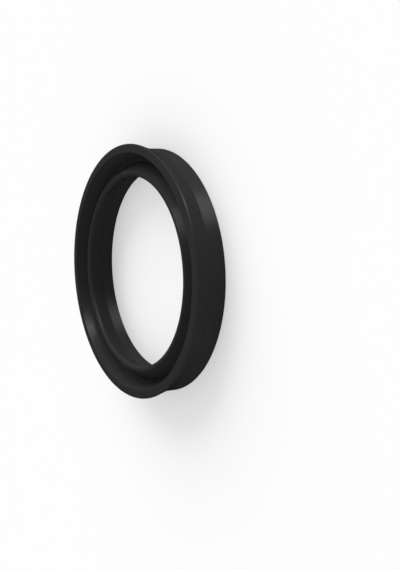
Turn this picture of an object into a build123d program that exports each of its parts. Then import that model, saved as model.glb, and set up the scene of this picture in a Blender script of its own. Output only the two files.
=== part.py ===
from build123d import *
import os

# U cup seal for a hydraulic rod: one moulded ring of black rubber, drawn in millimetres.
# Its flat heel face lies on z = 0, its axis is Z, and the mouth between its two lips opens towards +Z.
# The inner lip presses on the rod, and the longer outer lip presses on the bore of the gland.

# Gland that the seal is made for
rod_diameter = 70.0
gland_section = 7.5  # radial width of the groove, from the rod to the gland's bore

# Heel
heel_rod_clearance = 0.15  # radial gap that keeps the heel off the moving rod
heel_gland_squeeze = 0.10  # radial squeeze that holds the heel in the gland
heel_thickness = 6.3  # from the heel face to the inner side of the groove's floor
bore_straight_height = 4.4  # where the bore starts to close in towards the inner lip
wall_straight_height = 5.7  # where the outer wall starts to flare towards the outer lip

# Outer lip
seal_height = 12.1
outer_lip_squeeze = 1.92  # how far the lip's unrounded rim stands past the gland's bore
outer_tip_width = 3.18
outer_tip_fall = 0.34  # the end face drops towards the rim

# Inner lip
inner_lip_drop = 1.2  # how much lower than the outer lip it ends
inner_lip_squeeze = 2.30  # how far the lip's unrounded rim stands inside the rod's surface
inner_tip_width = 2.04
inner_tip_fall = 0.13  # the end face drops towards the groove

# Groove between the lips
inner_root_width = 3.0  # rubber between the heel's bore and the groove's floor
floor_width = 1.08
floor_rise = 0.70  # the floor climbs towards the outer lip

# Roundings and bevels
outer_rim_rounding = 0.57
inner_rim_rounding = 0.92
bend_rounding = 2.0  # where the straight walls turn into the flares
heel_bevel = 0.20
lip_bevel = 0.10  # where each end face meets the groove


rod_radius = rod_diameter / 2
gland_radius = rod_radius + gland_section
bore_radius = rod_radius + heel_rod_clearance
wall_radius = gland_radius + heel_gland_squeeze
outer_rim_radius = gland_radius + outer_lip_squeeze
inner_rim_radius = rod_radius - inner_lip_squeeze
inner_lip_height = seal_height - inner_lip_drop
floor_inner_radius = bore_radius + inner_root_width
floor_outer_radius = floor_inner_radius + floor_width

outer_lip_edge = (outer_rim_radius - outer_tip_width, seal_height)
inner_lip_edge = (inner_rim_radius + inner_tip_width, inner_lip_height - inner_tip_fall)

# The section's corners as (radius, height), each with its rounding, once round it against the clock.
corners = [
    ((bore_radius, 0), 0),
    ((wall_radius, 0), 0),
    ((wall_radius, wall_straight_height), bend_rounding),
    ((outer_rim_radius, seal_height - outer_tip_fall), outer_rim_rounding),
    (outer_lip_edge, 0),
    ((floor_outer_radius, heel_thickness + floor_rise), 0),
    ((floor_inner_radius, heel_thickness), 0),
    (inner_lip_edge, 0),
    ((inner_rim_radius, inner_lip_height), inner_rim_rounding),
    ((bore_radius, bore_straight_height), bend_rounding),
]

with BuildPart() as seal:
    with BuildSketch(Plane.XZ) as section:
        with BuildLine():
            FilletPolyline(
                *[corner for corner, rounding in corners],
                radius=[rounding for corner, rounding in corners],
                close=True,
            )
        make_face()
        chamfer(section.vertices().group_by(Axis.Y)[0], heel_bevel)
        for lip_edge in (outer_lip_edge, inner_lip_edge):
            chamfer(section.vertices().sort_by_distance(lip_edge)[0], lip_bevel)
    revolve(axis=Axis.Z)

seal.part.label = "u_cup_seal"

os.makedirs("parts", exist_ok=True)
export_step(seal.part, "parts/u_cup_seal.step")
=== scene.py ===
# Looks of the u cup seal: its moulded rubber, the pale floor it lies on, a soft studio and the camera.
# Lengths are in metres and angles in degrees, with azimuths from +X towards +Y.
# The ring's axis is Z, and its heel rests on the floor at z = 0.
import math

import bpy
from mathutils import Matrix, Vector


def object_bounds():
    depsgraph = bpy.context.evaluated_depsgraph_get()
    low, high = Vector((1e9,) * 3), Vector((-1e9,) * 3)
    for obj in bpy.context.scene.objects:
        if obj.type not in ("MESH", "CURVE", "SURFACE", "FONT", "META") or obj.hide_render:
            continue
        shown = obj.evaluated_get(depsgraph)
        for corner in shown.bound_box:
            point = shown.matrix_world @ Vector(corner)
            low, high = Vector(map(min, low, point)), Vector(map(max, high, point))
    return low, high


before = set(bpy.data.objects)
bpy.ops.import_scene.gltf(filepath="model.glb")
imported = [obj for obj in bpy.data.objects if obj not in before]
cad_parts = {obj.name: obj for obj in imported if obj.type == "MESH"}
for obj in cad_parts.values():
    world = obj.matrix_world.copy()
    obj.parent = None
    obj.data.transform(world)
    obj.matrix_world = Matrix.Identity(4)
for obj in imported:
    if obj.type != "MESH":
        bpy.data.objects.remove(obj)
cad_low, cad_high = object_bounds()

MILLIMETRE = 0.001

# Camera: in front of the ring (-Y), above it and turned on its side, so that +X is up in the picture.
# It stands a little off the line to the ring's centre, because the ring isn't in the picture's middle.
camera_elevation = 32.2
camera_roll = -94.55
camera_distance = 0.379573
camera_offset_x = -0.00645
camera_offset_up = -0.019156  # at right angles to the line of sight
camera_lens = 68.4  # millimetres
camera_sensor = 36  # millimetres

# Studio: an even room, a low broad key lamp and a weak fill. Softness is how wide a lamp looks.
white = (1, 1, 1, 1)
white_glow = 1.0  # the strength at which the camera sees plain white
room_strength = 0.53
key_strength = 4.85
key_azimuth = 15
key_elevation = 8
key_softness = 80
fill_strength = 1.03
fill_azimuth = 160
fill_elevation = 20
fill_softness = 150

# Upright strip of light, which gives the long highlights. Its middle part, the core, is narrow and bright.
strip_azimuth = -36.5
strip_distance = 0.60
strip_width = 0.28
strip_low = -0.46
strip_high = 0.54
low_strip_strength = 2.9
high_strip_strength = 3.3
core_width = 0.10
core_low = -0.04
core_high = 0.22
core_strength = 12

# Floor
floor_reach = 30.0
floor_colour = (0.92, 0.92, 0.92, 1)
floor_lift = 0.4  # how far the camera's view of the floor is lifted towards white

# Rubber
rubber_colour = (0.025, 0.025, 0.0255, 1)
rubber_bloom_colour = (0.028, 0.028, 0.0285, 1)
rubber_specular = 0.20
rubber_roughness = (0.285, 0.315)
cloud_size = 12 * MILLIMETRE
cloud_detail = 3
cloud_range = (0.3, 0.7)  # the part of the clouds' noise over which the roughness changes
turning_mark_width = 0.5 * MILLIMETRE
turning_mark_depth = 0.0012 * MILLIMETRE
turning_mark_detail = 2
grain_size = 0.2 * MILLIMETRE
grain_depth = 0.0008 * MILLIMETRE
grain_detail = 3


def new_nodes(owner):
    """Empties the owner's node tree and returns the function that adds a node to it."""
    owner.use_nodes = True
    tree = owner.node_tree
    tree.nodes.clear()

    def add(kind, inputs, **properties):
        """Adds a node and returns its outputs. An input is a plain value or another node's output."""
        node = tree.nodes.new("ShaderNode" + kind)
        for name, value in properties.items():
            setattr(node, name, value)
        for name, value in inputs.items():
            if isinstance(value, bpy.types.NodeSocket):
                tree.links.new(value, node.inputs[name])
            else:
                node.inputs[name].default_value = value
        return node.outputs

    return add


def noise(add, place, size, detail):
    """Noise with spots of this size, read at this place."""
    return add("TexNoise", {"Vector": place, "Scale": 1 / size, "Detail": detail})["Fac"]


def radius_and_height(add, place):
    """The place on the ring's section, which is the same all round the ring."""
    flat = add("VectorMath", {0: place, 1: (1, 1, 0)}, operation="MULTIPLY")["Vector"]
    radius = add("VectorMath", {0: flat}, operation="LENGTH")["Value"]
    height = add("SeparateXYZ", {"Vector": place})["Z"]
    return add("CombineXYZ", {"X": radius, "Y": height})["Vector"]


def skin_colour(add, clouds):
    """The rubber's black, a little paler in the clouds. A Mix node's colour sockets go by number."""
    return add("Mix", {"Factor": clouds, 6: rubber_colour, 7: rubber_bloom_colour}, data_type="RGBA")[2]


def skin_roughness(add, clouds):
    """The satin gloss, a little duller in the clouds."""
    low, high = cloud_range
    shiny, dull = rubber_roughness
    inputs = {"Value": clouds, "From Min": low, "From Max": high, "To Min": shiny, "To Max": dull}
    return add("MapRange", inputs)["Result"]


def skin_relief(add, place):
    """The mould's faint turning marks, which run round the ring, with a fine grain on top."""
    section = radius_and_height(add, place)
    marks = noise(add, section, turning_mark_width, turning_mark_detail)
    marked = add("Bump", {"Height": marks, "Distance": turning_mark_depth})["Normal"]
    grain = noise(add, place, grain_size, grain_detail)
    return add("Bump", {"Height": grain, "Distance": grain_depth, "Normal": marked})["Normal"]


def rubber():
    """Moulded black rubber, satin and slightly cloudy."""
    material = bpy.data.materials.new("moulded_rubber")
    add = new_nodes(material)
    place = add("TexCoord", {})["Object"]
    clouds = noise(add, place, cloud_size, cloud_detail)
    inputs = {
        "Base Color": skin_colour(add, clouds),
        "Roughness": skin_roughness(add, clouds),
        "Specular IOR Level": rubber_specular,
        "Normal": skin_relief(add, place),
    }
    shader = add("BsdfPrincipled", inputs)["BSDF"]
    add("OutputMaterial", {"Surface": shader})
    return material


def card(name, corners, material):
    """A flat four-sided piece of the stage."""
    mesh = bpy.data.meshes.new(name)
    mesh.from_pydata(corners, [], [(0, 1, 2, 3)])
    mesh.materials.append(material)
    piece = bpy.data.objects.new(name, mesh)
    bpy.context.collection.objects.link(piece)
    return piece


def floor_paint():
    """Pale paint. The camera sees it lifted towards white, and it still keeps the ring's shadow."""
    material = bpy.data.materials.new("floor_paint")
    add = new_nodes(material)
    paint = add("BsdfDiffuse", {"Color": floor_colour})["BSDF"]
    glowing = add("Emission", {"Strength": white_glow})["Emission"]
    to_camera = add("LightPath", {})["Is Camera Ray"]
    lift = add("Math", {0: to_camera, 1: floor_lift}, operation="MULTIPLY")["Value"]
    mixed = add("MixShader", {"Fac": lift, 1: paint, 2: glowing})["Shader"]
    add("OutputMaterial", {"Surface": mixed})
    return material


def floor():
    """The floor takes the ring's shadow but casts none, so the low key also lights what faces it."""
    r = floor_reach
    piece = card("floor", [(-r, -r, 0), (r, -r, 0), (r, r, 0), (-r, r, 0)], floor_paint())
    piece.visible_glossy = False
    piece.visible_shadow = False


def glow(name, strength):
    """An even white glow. It isn't sampled as a lamp, because only the rubber's gloss sees it."""
    material = bpy.data.materials.new(name)
    add = new_nodes(material)
    shader = add("Emission", {"Strength": strength})["Emission"]
    add("OutputMaterial", {"Surface": shader})
    material.cycles.emission_sampling = "NONE"
    return material


def strip(name, width, low, high, strength):
    """One part of the upright strip, from low to high. Only the gloss sees it, also below the floor."""
    turn = Matrix.Rotation(math.radians(strip_azimuth), 3, "Z")
    outline = [(width / 2, low), (-width / 2, low), (-width / 2, high), (width / 2, high)]
    corners = [turn @ Vector((strip_distance, side, height)) for side, height in outline]
    piece = card(name, corners, glow(name, strength))
    piece.visible_camera = False
    piece.visible_diffuse = False
    piece.visible_shadow = False


def room():
    """Even pale light from all round, plain white to the camera and left out of the rubber's gloss."""
    world = bpy.data.worlds.new("room")
    bpy.context.scene.world = world
    add = new_nodes(world)
    light = add("Background", {"Color": white, "Strength": room_strength})["Background"]
    seen = add("Background", {"Color": white, "Strength": white_glow})["Background"]
    to_camera = add("LightPath", {})["Is Camera Ray"]
    either = add("MixShader", {"Fac": to_camera, 1: light, 2: seen})["Shader"]
    add("OutputWorld", {"Surface": either})
    world.cycles_visibility.glossy = False


def lamp(name, strength, azimuth, elevation, softness):
    """A far lamp, left out of the rubber's gloss."""
    light = bpy.data.lights.new(name, "SUN")
    light.energy = strength
    light.angle = math.radians(softness)
    piece = bpy.data.objects.new(name, light)
    turn = Matrix.Rotation(math.radians(azimuth), 4, "Z")
    tilt = Matrix.Rotation(math.radians(90 - elevation), 4, "Y")
    piece.matrix_world = turn @ tilt
    piece.visible_glossy = False
    bpy.context.collection.objects.link(piece)


def camera():
    """Starts at the ring's centre, tilts, moves back and a little aside, and rolls."""
    lens = bpy.data.cameras.new("camera")
    lens.lens = camera_lens
    lens.sensor_width = camera_sensor
    piece = bpy.data.objects.new("camera", lens)
    centre = Matrix.Translation((cad_low + cad_high) / 2)
    tilt = Matrix.Rotation(math.radians(90 - camera_elevation), 4, "X")
    place = Matrix.Translation((camera_offset_x, camera_offset_up, camera_distance))
    roll = Matrix.Rotation(math.radians(camera_roll), 4, "Z")
    piece.matrix_world = centre @ tilt @ place @ roll
    bpy.context.collection.objects.link(piece)
    bpy.context.scene.camera = piece


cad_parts["u_cup_seal"].material_slots[0].material = rubber()
floor()
strip("low strip", strip_width, strip_low, core_low, low_strip_strength)
strip("core", core_width, core_low, core_high, core_strength)
strip("high strip", strip_width, core_high, strip_high, high_strip_strength)
room()
lamp("key", key_strength, key_azimuth, key_elevation, key_softness)
lamp("fill", fill_strength, fill_azimuth, fill_elevation, fill_softness)
camera()
bpy.context.scene.view_settings.view_transform = "Standard"
